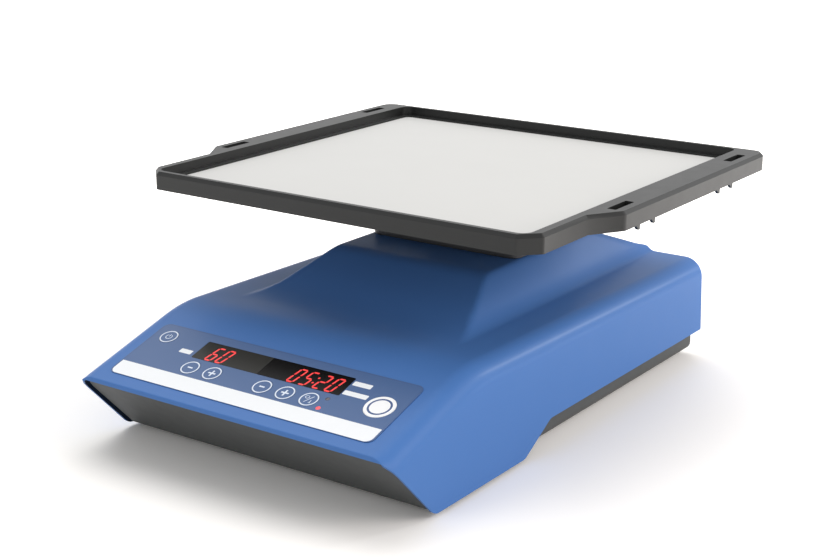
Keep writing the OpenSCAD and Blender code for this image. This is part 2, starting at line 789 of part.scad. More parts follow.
// ---- drive ----
module drive_frame()
    color("lightgray") difference() {
        translate([-frame_w / 2, 0, 0]) {
            translate([0, frame_y, frame_top - web_t]) cube([frame_w, frame_back - frame_y, web_t]);
            for (y = [frame_y, web_y])
                translate([0, y, pan_floor]) cube([frame_w, web_t, frame_top - pan_floor]);
            translate([0, frame_y - frame_foot, pan_floor]) cube([frame_w, frame_foot + cut, web_t]);
            translate([0, web_y, pan_floor]) cube([frame_w, frame_foot + web_t, web_t]);
        }
        rod_opening(frame_top - punch, frame_top + cut);
        for (p = saddle_screw_at) translate([p[0], p[1], frame_top - punch])
            cylinder(d = saddle_screw_d + thread_gap, h = punch + cut);
        translate([crank_x, 0, crank_z]) rod_along_y(gear_pilot, web_y - cut, gear_y + cut);
        for (p = gear_screw_at) translate([p[0], 0, p[1]])
            rod_along_y(gear_screw_d + screw_gap, web_y - cut, gear_y + cut);
        for (p = frame_screw_at) translate([p[0], p[1], pan_floor - cut])
            cylinder(d = frame_screw_d + screw_gap, h = web_t + 2 * cut);
    }

module frame_screws()
    color("silver") for (p = frame_screw_at)
        translate([p[0], p[1], pan_floor + web_t]) screw(frame_screw_d, web_t + pan_t - screw_short);

module gearbox()
    color("silver") translate([crank_x, 0, crank_z]) difference() {
        union() {
            rod_along_y(gearbox_d, gear_y, gear_y + gearbox_len);
            rod_along_y(gear_pilot, web_y, gear_y + cut);
        }
        rod_along_y(crank_shaft_d + 2 * run_gap, web_y - cut, gear_y + crank_shaft_in + cut);
        for (p = gear_screw_at) translate([p[0] - crank_x, 0, p[1] - crank_z])
            rod_along_y(gear_screw_d + thread_gap, gear_y - cut, gear_y + gear_screw_len - cut);
    }

module gearbox_screws()
    color("silver") for (p = gear_screw_at)
        translate([p[0], web_y, p[1]]) rotate([90, 0, 0]) screw(gear_screw_d, gear_screw_len);

module drive_motor()
    color("gray") translate([crank_x, 0, crank_z]) {
        back = gear_y + gearbox_len + motor_len;
        rod_along_y(motor_d, gear_y + gearbox_len, back - motor_cap);
        rod_along_y(motor_d - 2 * motor_step, back - motor_cap - eps, back);
        for (x = [-terminal_x, terminal_x])
            translate([x - terminal[0] / 2, back - eps, -terminal[2] / 2]) cube(terminal);
    }

// ---- saddle, cradle and linkage ----
module lug_outline(foot_half, foot_z, r) {
    circle(r, $fn = EXACT);
    a = atan2(foot_half, pivot_z - foot_z);
    polygon([[-foot_half, foot_z - pivot_z], [foot_half, foot_z - pivot_z],
        [r * cos(a), r * sin(a) / 2], [-r * cos(a), r * sin(a) / 2]]);
}

module bearing_saddle() {
    depth = saddle_y[1] - saddle_y[0];
    top = hump_z + saddle_t;
    color("black") difference() {
        union() {
            translate([0, saddle_y[0] + depth / 2, hump_z]) round_slab(saddle_w, depth, saddle_r, saddle_t);
            for (y = lug_ys) translate([0, 0, pivot_z])
                along_y(y, y + lug_t) lug_outline(lug_foot, top - cut, boss_r);
            rod_opening(top - eps, top + collar_h, collar_t);
        }
        for (y = lug_ys) translate([0, 0, pivot_z])
            rod_along_y(shaft_d + 2 * bush_t, y - cut, y + lug_t + cut);
        rod_opening(hump_z - cut, top + collar_h + cut);
        for (p = saddle_screw_at) translate([p[0], p[1], hump_z]) {
            translate([0, 0, -cut]) cylinder(d = saddle_screw_d + screw_gap, h = saddle_t + 2 * cut);
            translate([0, 0, saddle_t - head_sink])
                cylinder(d = 2 * saddle_screw_d + screw_gap, h = head_sink + cut);
        }
    }
}

module saddle_screws()
    color("silver") for (p = saddle_screw_at) translate([p[0], p[1], hump_z + saddle_t - head_sink])
        screw(saddle_screw_d, saddle_t - head_sink + sheet_t + web_t);

module bush(y0, flange_y)
    difference() {
        union() {
            rod_along_y(shaft_d + 2 * bush_t, y0, y0 + lug_t);
            rod_along_y(shaft_d + 2 * bush_t + 2 * bush_rim, flange_y, flange_y + bush_flange);
        }
        rod_along_y(shaft_d + 2 * run_gap, y0 - punch, y0 + lug_t + punch);
    }

module shaft_bushes()
    color("peru") translate([0, 0, pivot_z]) {
        bush(lug_ys[0], lug_ys[0] + lug_t);
        bush(lug_ys[1], lug_ys[1] - bush_flange);
    }

module cradle_shaft()
    color("silver") translate([0, 0, pivot_z])
        rod_along_y(shaft_d, lug_ys[0] - shaft_end, lug_ys[1] + lug_t + shaft_end);

module clip_ring(y)
    difference() {
        rod_along_y(shaft_d + 2 * clip_rim, y, y + clip_t);
        rod_along_y(shaft_d, y - cut, y + clip_t + cut);
    }

module shaft_clips()
    color("silver") translate([0, 0, pivot_z]) {
        clip_ring(lug_ys[0] - clip_gap - clip_t);
        clip_ring(lug_ys[1] + lug_t + clip_gap);
    }

module fork_cheek(y0)
    translate([lever_arm, 0, pivot_z]) along_y(y0, y0 + fork_t) {
        circle(r = fork_r, $fn = EXACT);
        translate([-fork_r, 0]) square([2 * fork_r, cradle_z - pivot_z + cut]);
    }

module hub(y0)
    translate([0, 0, pivot_z]) along_y(y0, y0 + hub_t) {
        circle(r = hub_r, $fn = EXACT);
        polygon([[-hub_r, 0], [hub_r, 0],
            [hub_foot, cradle_z - pivot_z + cut], [-hub_foot, cradle_z - pivot_z + cut]]);
    }

module tray_cradle() {
    depth = cradle_y[1] - cradle_y[0];
    color("dimgray") difference() {
        union() {
            translate([0, rod_y, cradle_z]) round_slab(cradle_w, depth, cradle_r, cradle_t);
            for (y = hub_at) hub(y);
            for (y = [-fork_y - fork_t, fork_y]) fork_cheek(rod_y + y);
            for (y = [cradle_y[0] + rib_in[1], cradle_y[1] - rib_in[1] - rib_t])
                translate([-cradle_w / 2 + rib_in[0], y, cradle_z - rib_t])
                    cube([cradle_w - 2 * rib_in[0], rib_t, rib_t + cut]);
        }
        translate([0, 0, pivot_z]) rod_along_y(shaft_d, cradle_y[0], cradle_y[1]);
        translate([lever_arm, 0, pivot_z]) rod_along_y(pin_d, rod_y - over, rod_y + over);
        for (p = cradle_screw_at) translate([p[0], p[1], cradle_z - punch])
            cylinder(d = tray_screw_d + thread_gap, h = cradle_t + 2 * punch);
    }
}

module lever_pin()
    color("silver") translate([lever_arm, 0, pivot_z]) {
        rod_along_y(pin_d, rod_y - fork_y - fork_t, rod_y + fork_y + fork_t + pin_end);
        rod_along_y(pin_d + 2 * pin_head, rod_y - fork_y - fork_t - pin_head_t, rod_y - fork_y - fork_t);
    }

module connecting_rod() {
    big_r = bearing_od / 2 + rod_rim;
    eye_r = pin_d / 2 + eye_rim;
    color("gainsboro") translate([lever_arm, 0, pivot_z]) difference() {
        along_y(rod_y - rod_t / 2, rod_y + rod_t / 2) {
            circle(eye_r, $fn = EXACT);
            translate([0, -rod_len]) circle(big_r, $fn = EXACT);
            translate([-rod_w / 2, -rod_len]) square([rod_w, rod_len]);
        }
        rod_along_y(pin_d + 2 * run_gap, rod_y - rod_t, rod_y + rod_t);
        translate([0, 0, -rod_len]) rod_along_y(bearing_od, rod_y - rod_t, rod_y + rod_t);
        for (y = [-rod_t / 2 - cut, rod_t / 2 - rod_pocket])
            translate([0, 0, -(rod_len - big_r + eye_r) / 2]) along_y(rod_y + y, rod_y + y + rod_pocket + cut)
                round_rect(rod_w - 2 * pocket_rim, rod_len - big_r - eye_r - 2 * pocket_end,
                    rod_w / 2 - pocket_rim - thread_gap);
    }
}

module rod_bearing()
    color("silver") translate([lever_arm, rod_y, crank_z]) difference() {
        rod_along_y(bearing_od, -bearing_w / 2, bearing_w / 2);
        rod_along_y(pin_d + 2 * bearing_gap, -bearing_w, bearing_w);
        for (y = [-bearing_w / 2 - bearing_groove, bearing_w / 2 - bearing_groove]) difference() {
            rod_along_y(bearing_od - 2 * race_t, y, y + 2 * bearing_groove);
            rod_along_y(pin_d + 2 * race_t, y - cut, y + 2 * bearing_groove + cut);
        }
    }

// The crank pin stops short of the rod's bearing: this pivot of the linkage is open
module crank_disc()
    color("silver") difference() {
        union() {
            translate([crank_x, 0, crank_z]) rod_along_y(2 * crank_r, crank_front, crank_front + crank_t);
            translate([lever_arm, 0, crank_z])
                rod_along_y(pin_d, rod_y + rod_t / 2 + pin_gap, crank_front + cut);
        }
        translate([crank_x, 0, crank_z]) {
            rod_along_y(crank_shaft_d, crank_front + crank_seat, crank_front + crank_t + cut);
            translate([0, crank_front + crank_t / 2, 0]) rotate([0, -90, 0])
                cylinder(d = crank_screw_d, h = 2 * crank_r);
        }
    }

module crank_shaft()
    color("silver") translate([crank_x, 0, crank_z])
        rod_along_y(crank_shaft_d, crank_front + crank_seat, gear_y + crank_shaft_in);

module crank_screw()
    color("dimgray") translate([crank_x - crank_shaft_d / 2, crank_front + crank_t / 2, crank_z])
        rotate([0, -90, 0]) cylinder(d = crank_screw_d, h = crank_screw_len);

// ---- platform ----
// A slab on the outline, with a bevel round its top edge
module bevelled(pts)
    hull() {
        translate([0, 0, tray_under]) linear_extrude(tray_h - bevel_h) polygon(pts);
        translate([0, 0, tray_z - 1]) linear_extrude(1) offset(delta = -bevel_in) polygon(pts);
    }

tray_outline = rounded([for (p = [[-1, -1, 0], [-1, -1, 1], [1, -1, 1], [1, -1, 0],
    [1, 1, 0], [1, 1, 1], [-1, 1, 1], [-1, 1, 0]])
    [p[0] * (tray_w / 2 - p[2] * tray_corner),
        tray_y + p[1] * (tray_d / 2 - (1 - p[2]) * tray_corner), corner_soft]]);

ear_outline = rounded([
    [tray_w / 2 - rim_side, ear_front_y - 1, 0], [tray_w / 2 - 0.5, ear_front_y, 0],
    [ear_x, ear_front_y + ear_blend, ear_front_r], [ear_x, rear_y, ear_rear_r],
    [tray_w / 2 - rim_side - tray_corner, rear_y, 0]]);

// A wedge-shaped hook below the ear's outer edge
module hook()
    along_x(hook_t) polygon([[-hook_len / 2, 1], [hook_len / 2, 1],
        [hook_len / 2, -hook_h], [hook_len / 2 - hook_tip, -hook_h], [-hook_len / 2, 0]]);

module platform_tray()
    color("dimgray") difference() {
        union() {
            bevelled(tray_outline);
            both_sides() bevelled(ear_outline);
            both_sides() for (y = hook_ys) translate([ear_x - hook_t / 2, y, tray_under]) hook();
        }
        translate([0, tray_y, ledge_z]) round_slab(well_w, well_d, well_r, tray_h);
        translate([0, tray_y, mat_under]) round_slab(seat_w, seat_d, mat_r, tray_h);
        both_sides() for (y = slot_ys) translate([slot_x, y, tray_under - cut])
            round_slab(slot_w, slot_len, slot_r, tray_h + 2 * cut);
        for (p = cradle_screw_at) translate([p[0], p[1], mat_under]) {
            translate([0, 0, -floor_t - cut]) cylinder(d = tray_screw_d + 0.3, h = floor_t + 2 * cut);
            translate([0, 0, -tray_head_h]) cylinder(d = tray_head_d + screw_gap, h = tray_head_h + cut);
        }
    }

module tray_screws()
    color("silver") for (p = cradle_screw_at) translate([p[0], p[1], mat_under - tray_head_h]) {
        cylinder(d = tray_head_d, h = tray_head_h);
        translate([0, 0, tray_head_h - floor_t - cradle_t])
            cylinder(d = tray_screw_d, h = cradle_t + floor_t - tray_head_h + eps);
    }

module platform_mat()
    color("whitesmoke") translate([0, tray_y, mat_under])
        round_slab(seat_w - 2 * mat_gap, seat_d - 2 * mat_gap, mat_r - mat_gap, mat_t);

top_cover();
cover_standoffs();
cover_screws();
base_pan();
rubber_feet();
control_foil();
display_window();
speed_display();
timer_display();
status_leds();
key_board();
key_board_screws();
ribbon_cable();
power_key();
speed_down_key();
speed_up_key();
time_down_key();
time_up_key();
mode_key();
start_key();
main_board();
board_parts();
board_screws();
power_socket();
drive_frame();
frame_screws();
gearbox();
drive_motor();
gearbox_screws();
bearing_saddle();
saddle_screws();
shaft_bushes();
cradle_shaft();
shaft_clips();
tray_cradle();
lever_pin();
platform_tray();
tray_screws();
platform_mat();
connecting_rod();
rod_bearing();
crank_disc();
crank_shaft();
crank_screw();
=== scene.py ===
"""Looks of the rocking platform shaker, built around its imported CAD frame.

Lengths are in millimetres in the shape functions and become metres where a mesh is made.
The frame's axes hold: +Y to the rear, +Z up, origin on the bench under the middle.
"""

import json
import math

import bmesh
import bpy
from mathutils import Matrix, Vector

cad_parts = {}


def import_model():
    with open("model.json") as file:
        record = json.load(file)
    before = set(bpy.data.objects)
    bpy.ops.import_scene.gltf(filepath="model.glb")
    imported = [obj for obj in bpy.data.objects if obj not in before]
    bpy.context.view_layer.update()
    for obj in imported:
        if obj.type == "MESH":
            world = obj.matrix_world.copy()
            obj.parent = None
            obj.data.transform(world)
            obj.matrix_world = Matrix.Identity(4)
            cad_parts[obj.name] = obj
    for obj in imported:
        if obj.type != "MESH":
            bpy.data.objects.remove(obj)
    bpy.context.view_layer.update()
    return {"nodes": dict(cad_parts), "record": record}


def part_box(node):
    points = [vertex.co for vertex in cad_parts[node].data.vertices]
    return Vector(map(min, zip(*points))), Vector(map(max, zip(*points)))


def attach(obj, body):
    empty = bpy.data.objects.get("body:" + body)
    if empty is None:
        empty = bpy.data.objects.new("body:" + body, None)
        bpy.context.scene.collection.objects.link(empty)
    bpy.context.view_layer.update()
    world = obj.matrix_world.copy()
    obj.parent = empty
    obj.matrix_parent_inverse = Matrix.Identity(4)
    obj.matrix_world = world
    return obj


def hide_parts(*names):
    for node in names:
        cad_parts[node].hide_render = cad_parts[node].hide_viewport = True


MM = 0.001

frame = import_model()


def box_mm(node):
    """Lowest and highest corner of a CAD node in millimetres."""
    low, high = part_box(node)
    return low / MM, high / MM


# ---- driving sizes of the cover, as the CAD source has them ----
COVER_LOW, COVER_HIGH = box_mm("top_cover")
FRONT_Y, REAR_Y = COVER_LOW.y, COVER_HIGH.y
COVER_W = 245
SHEET_T = 2
LIP_Z = 50
LIP_T = 2.6
PANEL_ANGLE = math.radians(17)
PANEL_LEN = 92.5
ROOF_FALL = math.radians(0.7)
SHOULDER_R = 14
SIDE_DRAFT = math.radians(1.7)
SKID_Z = 3
UNDERCUT_ANGLE = math.radians(46.5)
NOSE_R = 10
SKID_LEN = 98
STEP_RUN = 31
STEP_H = 17
STEP_R = 10
REAR_R = 4
KNEE_SOFT = 4.5

HUMP_Z = 100.5
HUMP_W = 123
HUMP_START = 188
HUMP_LEN = 135
HUMP_Y = (FRONT_Y + HUMP_START, FRONT_Y + HUMP_START + HUMP_LEN)
HUMP_RUNS = (55, 72)
FOOT_W = (164, 154)
EDGE_SOFT = 3
CREASE_SOFT = 8

# ---- sizes of the control panel: x across, s up the slope from the lip ----
FOIL_W = 204
FOIL_LEN = 56.5
FOIL_S = 9.5
FOIL_T = 0.5
FOIL_R = 5
WINDOW_AT = (-1.2, 49.5)
WINDOW_SIZE = (116, 18)
KEY_S = 31
KEY_D = 12.6
START_D = 19.6
KEY_GAP = 0.2
KEY_PROUD = 0.15
KEYS = {
    "speed_down_key": (-51.5, KEY_S, KEY_D),
    "speed_up_key": (-33.6, KEY_S, KEY_D),
    "time_down_key": (6.3, KEY_S, KEY_D),
    "time_up_key": (24, KEY_S, KEY_D),
    "mode_key": (42, KEY_S, KEY_D),
    "power_key": (-89.5, 53.5, KEY_D),
    "start_key": (87, 39.8, START_D),
}
LEDS_AT = ((52.6, 35.4), (52.6, 26))
LED_D = 3

# ---- openings of the cover away from the panel, as (x, y) on the hump and (x, z) in the rear wall ----
ROD_SLOT_AT = (45, 78)
ROD_SLOT = (20, 16)
ROD_SLOT_R = 3
SOCKET_AT = (-70, 38)
SOCKET_D = 9


# ---- meshes ----
# points of a new mesh, or of a CAD mesh, that are closer than this become one
JOIN_REACH = 0.01
WELD_REACH = 0.002


class Shape:
    """Vertices in millimetres and the faces between them."""

    def __init__(self):
        self.verts = []
        self.faces = []

    def add(self, verts, faces):
        first = len(self.verts)
        self.verts += [tuple(v) for v in verts]
        self.faces += [[first + i for i in face] for face in faces]

    def grid(self, rows):
        """A skin through rows of points, each row as long as the next."""
        n = len(rows[0])
        corners = [i * n + j for i in range(len(rows) - 1) for j in range(n - 1)]
        self.add([p for row in rows for p in row], [[k, k + 1, k + n + 1, k + n] for k in corners])

    def prism(self, outline, low, high, place):
        """A flat plate with this outline, from height low to high."""
        n = len(outline)
        verts = [place(x, y, h) for h in (low, high) for x, y in outline]
        sides = [[i, (i + 1) % n, n + (i + 1) % n, n + i] for i in range(n)]
        self.add(verts, [list(range(n))[::-1], list(range(n, 2 * n)), *sides])

    def band(self, outer, inner, low, high, place):
        """A plate between two outlines with equally many points."""
        n = len(outer)
        loops = [(outer, low), (outer, high), (inner, high), (inner, low)]
        verts = [place(x, y, h) for loop, h in loops for x, y in loop]
        faces = [
            [a * n + i, a * n + (i + 1) % n, (a + 1) % 4 * n + (i + 1) % n, (a + 1) % 4 * n + i]
            for a in range(4)
            for i in range(n)
        ]
        self.add(verts, faces)


def make(name, shape, material, body):
    """The shape as a piece that rides on a body."""
    mesh = bpy.data.meshes.new(name)
    mesh.from_pydata([[c * MM for c in v] for v in shape.verts], [], shape.faces)
    obj = bpy.data.objects.new(name, mesh)
    bpy.context.scene.collection.objects.link(obj)
    bm = bmesh.new()
    bm.from_mesh(mesh)
    bmesh.ops.remove_doubles(bm, verts=bm.verts, dist=JOIN_REACH * MM)
    bmesh.ops.recalc_face_normals(bm, faces=bm.faces)
    bm.to_mesh(mesh)
    bm.free()
    mesh.materials.append(material)
    if body:
        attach(obj, body)
    return obj


def soften(obj, width, angle=35, segments=3):
    """Rounds the sharp edges of a piece and smooths its shading."""
    obj.data.shade_smooth()
    bevel = obj.modifiers.new("edges", "BEVEL")
    bevel.width = width * MM
    bevel.segments = segments
    bevel.limit_method = "ANGLE"
    bevel.angle_limit = math.radians(angle)
    bevel.use_clamp_overlap = True
    even = obj.modifiers.new("shading", "WEIGHTED_NORMAL")
    even.keep_sharp = True


def bake(obj):
    """Applies the modifiers of a piece to its mesh."""
    graph = bpy.context.evaluated_depsgraph_get()
    mesh = bpy.data.meshes.new_from_object(obj.evaluated_get(graph))
    obj.modifiers.clear()
    obj.data = mesh


def steps(a, b, parts):
    """The values from a to b in equal parts, with both ends."""
    return [a + (b - a) * i / parts for i in range(parts + 1)]


def around(x, y, r, angles):
    """Points at these angles on the circle of radius r about (x, y)."""
    return [(x + r * math.cos(a), y + r * math.sin(a)) for a in angles]


def circle(x, y, r, parts=48):
    return around(x, y, r, steps(0, math.tau, parts)[:-1])


def round_rect(x, y, w, d, r, parts=8):
    """Outline of a rectangle with rounded corners about (x, y)."""
    points = []
    for quarter, (sx, sy) in enumerate(((1, 1), (-1, 1), (-1, -1), (1, -1))):
        middle = (x + sx * (w / 2 - r), y + sy * (d / 2 - r))
        points += around(*middle, r, [math.pi / 2 * (quarter + share) for share in steps(0, 1, parts)])
    return points


def corner(a, b, c, r, parts=8):
    """The arc of radius r that rounds corner b between its neighbours a and c."""
    if r == 0:
        return [b]
    u, v = (a - b).normalized(), (c - b).normalized()
    half = u.angle(v) / 2
    mid = b + (u + v).normalized() * (r / math.sin(half))
    p = b + u * (r / math.tan(half)) - mid
    q = b + v * (r / math.tan(half)) - mid
    turn = math.pi - 2 * half
    shares = steps(0, 1, parts)
    return [mid + (p * math.sin(turn * (1 - i)) + q * math.sin(turn * i)) / math.sin(turn) for i in shares]


def on_panel(x, s, h):
    """A point of the panel's slope, h above its face."""
    y = FRONT_Y + s * math.cos(PANEL_ANGLE) - h * math.sin(PANEL_ANGLE)
    z = LIP_Z + s * math.sin(PANEL_ANGLE) + h * math.cos(PANEL_ANGLE)
    return (x, y, z)


# ---- materials ----
def srgb(r, g, b):
    """A colour given as it looks on a screen, 0 to 255, in linear light."""
    lin = [c / 255 / 12.92 if c <= 10 else ((c / 255 + 0.055) / 1.055) ** 2.4 for c in (r, g, b)]
    return (*lin, 1)


def shade(colour, by):
    """The colour made darker or lighter by a factor."""
    return (*(min(1, c * by) for c in colour[:3]), 1)


def map_range(tree, source, start, end, low, high):
    """Runs from low to high while the source goes from start to end."""
    made = tree.nodes.new("ShaderNodeMapRange")
    for key, value in (("From Min", start), ("From Max", end), ("To Min", low), ("To Max", high)):
        made.inputs[key].default_value = value
    tree.links.new(source, made.inputs["Value"])
    return made.outputs["Result"]


class Finish:
    """A procedural material: mottled colour, uneven roughness and a fine relief."""

    def __init__(self, name, colour, rough, metal=0.0, mottle=0.05, mottle_scale=35):
        self.mat = bpy.data.materials.new(name)
        self.mat.use_nodes = True
        self.tree = self.mat.node_tree
        self.bsdf = self.tree.nodes["Principled BSDF"]
        self.bsdf.inputs["Metallic"].default_value = metal
        self.coords = self.tree.nodes.new("ShaderNodeTexCoord").outputs["Object"]
        patches = self.noise(mottle_scale, 4)
        self.link(self.mix(patches, shade(colour, 1 - mottle), shade(colour, 1 + mottle)), "Base Color")
        self.link(self.span(self.noise(mottle_scale * 3, 3), rough * 0.96, rough * 1.04), "Roughness")

    def link(self, output, socket):
        self.tree.links.new(output, self.bsdf.inputs[socket])

    def node(self, kind, **inputs):
        made = self.tree.nodes.new(kind)
        for key, value in inputs.items():
            made.inputs[key].default_value = value
        return made

    def noise(self, scale, detail, stretch=(1, 1, 1)):
        mapping = self.node("ShaderNodeMapping", Scale=stretch)
        self.tree.links.new(self.coords, mapping.inputs["Vector"])
        made = self.node("ShaderNodeTexNoise", Scale=scale, Detail=detail)
        self.tree.links.new(mapping.outputs["Vector"], made.inputs["Vector"])
        return made.outputs["Fac"]

    def span(self, output, low, high):
        """Noise, which keeps near 0.5, stretched to run from low to high."""
        return map_range(self.tree, output, 0.3, 0.7, low, high)

    def mix(self, factor, a, b):
        """Colour a to b by factor; either may be another node's output."""
        made = self.tree.nodes.new("ShaderNodeMix")
        made.data_type = "RGBA"
        self.tree.links.new(factor, made.inputs["Factor"])
        for socket, value in ((made.inputs[6], a), (made.inputs[7], b)):
            if isinstance(value, tuple):
                socket.default_value = value
            else:
                self.tree.links.new(value, socket)
        return made.outputs[2]

    def above(self, axis, limit):
        """1 where the object coordinate along an axis passes the limit, in metres."""
        split = self.tree.nodes.new("ShaderNodeSeparateXYZ")
        self.tree.links.new(self.coords, split.inputs["Vector"])
        test = self.tree.nodes.new("ShaderNodeMath")
        test.operation = "GREATER_THAN"
        test.inputs[1].default_value = limit
        self.tree.links.new(split.outputs[axis], test.inputs[0])
        return test.outputs["Value"]

    def relief(self, height, strength, depth):
        """A bump from a height output; depth in millimetres."""
        bump = self.node("ShaderNodeBump", Strength=strength, Distance=depth * MM)
        self.tree.links.new(height, bump.inputs["Height"])
        self.link(bump.outputs["Normal"], "Normal")
        return self

    def set(self, **values):
        for key, value in values.items():
            self.bsdf.inputs[key.replace("_", " ")].default_value = value
        return self


def paint(name, colour, rough=0.46):
    """Baked enamel with a slight orange peel."""
    made = Finish(name, colour, rough, mottle=0.025, mottle_scale=14)
    made.set(IOR=1.19, Coat_Weight=0.2, Coat_Roughness=0.24, Coat_IOR=1.25)
    return made.relief(made.noise(420, 2), 0.12, 0.08)


def moulded(name, colour, rough=0.55, grain=1500, depth=0.05):
    """Moulded plastic with a fine spark-eroded texture."""
    made = Finish(name, colour, rough, mottle=0.03)
    return made.relief(made.noise(grain, 3), 0.35, depth)


def rubber(name, colour):
    made = Finish(name, colour, 0.82, mottle=0.1)
    return made.relief(made.noise(900, 4), 0.4, 0.08).set(Specular_IOR_Level=0.3)


def metal(name, colour, rough=0.32, stretch=(1, 1, 1), grain=700):
    """Metal with machining marks drawn out along the short axis of stretch."""
    made = Finish(name, colour, rough, metal=1.0, mottle=0.07, mottle_scale=60)
    return made.relief(made.noise(grain, 2, stretch), 0.15, 0.02)


def film(name, colour, rough=0.42):
    """Printed polyester film with a fine matt grain."""
    made = Finish(name, colour, rough, mottle=0.03, mottle_scale=18)
    return made.relief(made.noise(2600, 2), 0.15, 0.01).set(Specular_IOR_Level=0.35)


def ink(name, colour, rough=0.5):
    made = Finish(name, colour, rough, mottle=0.02, mottle_scale=80)
    return made.relief(made.noise(2200, 2), 0.1, 0.01)


def window_finish():
    """Tinted window: smoky over the speed digits, black over the timer digits."""
    split_x = -6
    haze = srgb(30, 28, 28)
    made = Finish("display_window", haze, 0.2)
    tint = made.mix(made.above("X", split_x * MM), srgb(50, 50, 48), srgb(8, 7, 8))
    cloudy = made.mix(made.noise(90, 2), tint, haze)
    blend = made.mix(made.span(made.noise(25, 2), 0.0, 0.25), tint, cloudy)
    made.link(blend, "Base Color")
    return made.relief(made.noise(500, 1), 0.03, 0.01).set(Specular_IOR_Level=0.05)


def lens_finish():
    """Two lamps: the front one lit red, the rear one off."""
    split_s = (LEDS_AT[0][1] + LEDS_AT[1][1]) / 2
    made = Finish("status_lens", srgb(60, 40, 62), 0.25)
    unlit = made.above("Y", on_panel(0, split_s, 0)[1] * MM)
    made.link(made.mix(unlit, srgb(232, 40, 52), srgb(38, 33, 58)), "Base Color")
    made.link(made.mix(unlit, (1, 0.03, 0.04, 1), (0, 0, 0, 1)), "Emission Color")
    return made.relief(made.noise(900, 1), 0.1, 0.02).set(Emission_Strength=0.5)


def mat_finish():
    """Pale silicone mat with a fine pebbled face."""
    made = Finish("mat_silicone", srgb(197, 197, 195), 0.6, mottle=0.012, mottle_scale=9)
    return made.relief(made.noise(1800, 3), 0.2, 0.05)


BLUE = srgb(74, 117, 180)
FOIL_BLUE = srgb(60, 92, 140)
DARK_GREY = srgb(30, 31, 31)

FINISHES = {
    "cover_paint": paint("blue_enamel", BLUE),
    "pan_plastic": moulded("pan_grey", srgb(70, 72, 72), 0.6),
    "rubber": rubber("foot_rubber", srgb(34, 34, 35)),
    "foil": film("panel_film", FOIL_BLUE),
    "window": window_finish(),
    "led_housing": moulded("display_housing", srgb(44, 44, 46)),
    "led_lens": lens_finish(),
    "circuit_board": moulded("board_green", srgb(28, 88, 60), 0.4, 500),
    "component": moulded("component_black", srgb(42, 42, 44), 0.45),
    "ribbon": moulded("ribbon_grey", srgb(170, 172, 176), 0.5),
    "key_film": film("key_film", FOIL_BLUE),
    "start_film": film("start_film", srgb(247, 248, 249)),
    "black_plastic": moulded("socket_black", srgb(30, 30, 32)),
    "zinc_sheet": metal("zinc_plate", srgb(190, 194, 196), 0.38, (1, 1, 6)),
    "gearbox_metal": metal("gearbox_cast", srgb(176, 176, 172), 0.42),
    "motor_metal": metal("motor_can", srgb(160, 162, 166), 0.35, (1, 8, 1)),
    "screw_steel": metal("screw_zinc", srgb(186, 188, 190), 0.3),
    "saddle_black": moulded("saddle_black", srgb(36, 37, 39), 0.5, 900),
    "cradle_grey": moulded("cradle_grey", srgb(58, 60, 61), 0.5, 900),
    "bronze": metal("bush_bronze", srgb(188, 140, 92), 0.4),
    "shaft_steel": metal("ground_steel", srgb(200, 202, 204), 0.2, (6, 1, 6)),
    "rod_aluminium": metal("rod_aluminium", srgb(206, 207, 208), 0.36, (1, 1, 5)),
    "tray_plastic": moulded("tray_grey", DARK_GREY, 0.36, 1300).set(Specular_IOR_Level=0.3),
    "mat_white": mat_finish(),
}

WHITE_INK = ink("white_ink", srgb(238, 241, 244))
PALE_INK = ink("pale_blue_ink", srgb(222, 231, 245))
# Dark blue for the start key's printed ring, and for the film's edge line, which is partly a printed
# border and partly painted shade.
LINE_INK_AND_SHADE = ink("dark_blue_ink_and_edge_shade", srgb(50, 78, 128))
# The cover is the same blue enamel inside; this much darker copy is painted shade for its dim inner faces.
INNER_PAINTED_SHADE = paint("inner_painted_shade", srgb(26, 40, 62), 0.5)
RED_LIGHT = Finish("red_segments", srgb(205, 24, 26), 0.4, mottle=0.08, mottle_scale=300)
RED_LIGHT.set(Emission_Color=(1, 0.02, 0.018, 1), Emission_Strength=0.5)


# ---- CAD nodes that stay: edges rounded, finish by material slot ----
SLOT_OF = {part["node"]: part["material_slot"] for part in frame["record"]["subparts"]}
EDGE_OF = {
    "platform_tray": 0.6,
    "base_pan": 0.5,
    "bearing_saddle": 0.5,
    "tray_cradle": 0.5,
    "platform_mat": 0.4,
    "rubber_feet": 0.3,
    "control_foil": 0.12,
    "display_window": 0.12,
    "start_key": 0.15,
    "drive_frame": 0.25,
    "connecting_rod": 0.3,
}
PLAIN_EDGE = 0.1


def dress(node):
    """Gives a CAD node its finish and rounds its edges; its mesh stays as it is."""
    obj = frame["nodes"][node]
    slot = SLOT_OF[node]
    for material_slot in obj.material_slots:
        material_slot.material = FINISHES[slot].mat
    weld = obj.modifiers.new("weld", "WELD")
    weld.merge_threshold = WELD_REACH * MM
    soften(obj, EDGE_OF.get(node, PLAIN_EDGE), segments=2)


for cad_node in frame["nodes"]:
    dress(cad_node)


# ---- the cover's skin, worked out as in the CAD source but on a finer grid ----
def smin(a, b, k):
    """The lower of two heights, rounded over k where they cross."""
    return min(a, b) - max(k - abs(a - b), 0) ** 2 / (4 * k)


def smax(a, b, k):
    """The higher of two heights, rounded over k where they cross."""
    return -smin(-a, -b, k)


KNEE_Y = FRONT_Y + PANEL_LEN * math.cos(PANEL_ANGLE)
KNEE_Z = LIP_Z + PANEL_LEN * math.sin(PANEL_ANGLE)
UNDER_Z = LIP_Z - LIP_T
NOSE_Y = FRONT_Y + (UNDER_Z - SKID_Z) / math.tan(UNDERCUT_ANGLE)
SKID_END_Y = NOSE_Y + SKID_LEN
RAISED_Z = SKID_Z + STEP_H
FOOT_Y = HUMP_Y[0] - HUMP_RUNS[0]


def roof_line(y):
    return KNEE_Z - (y - KNEE_Y) * math.tan(ROOF_FALL)


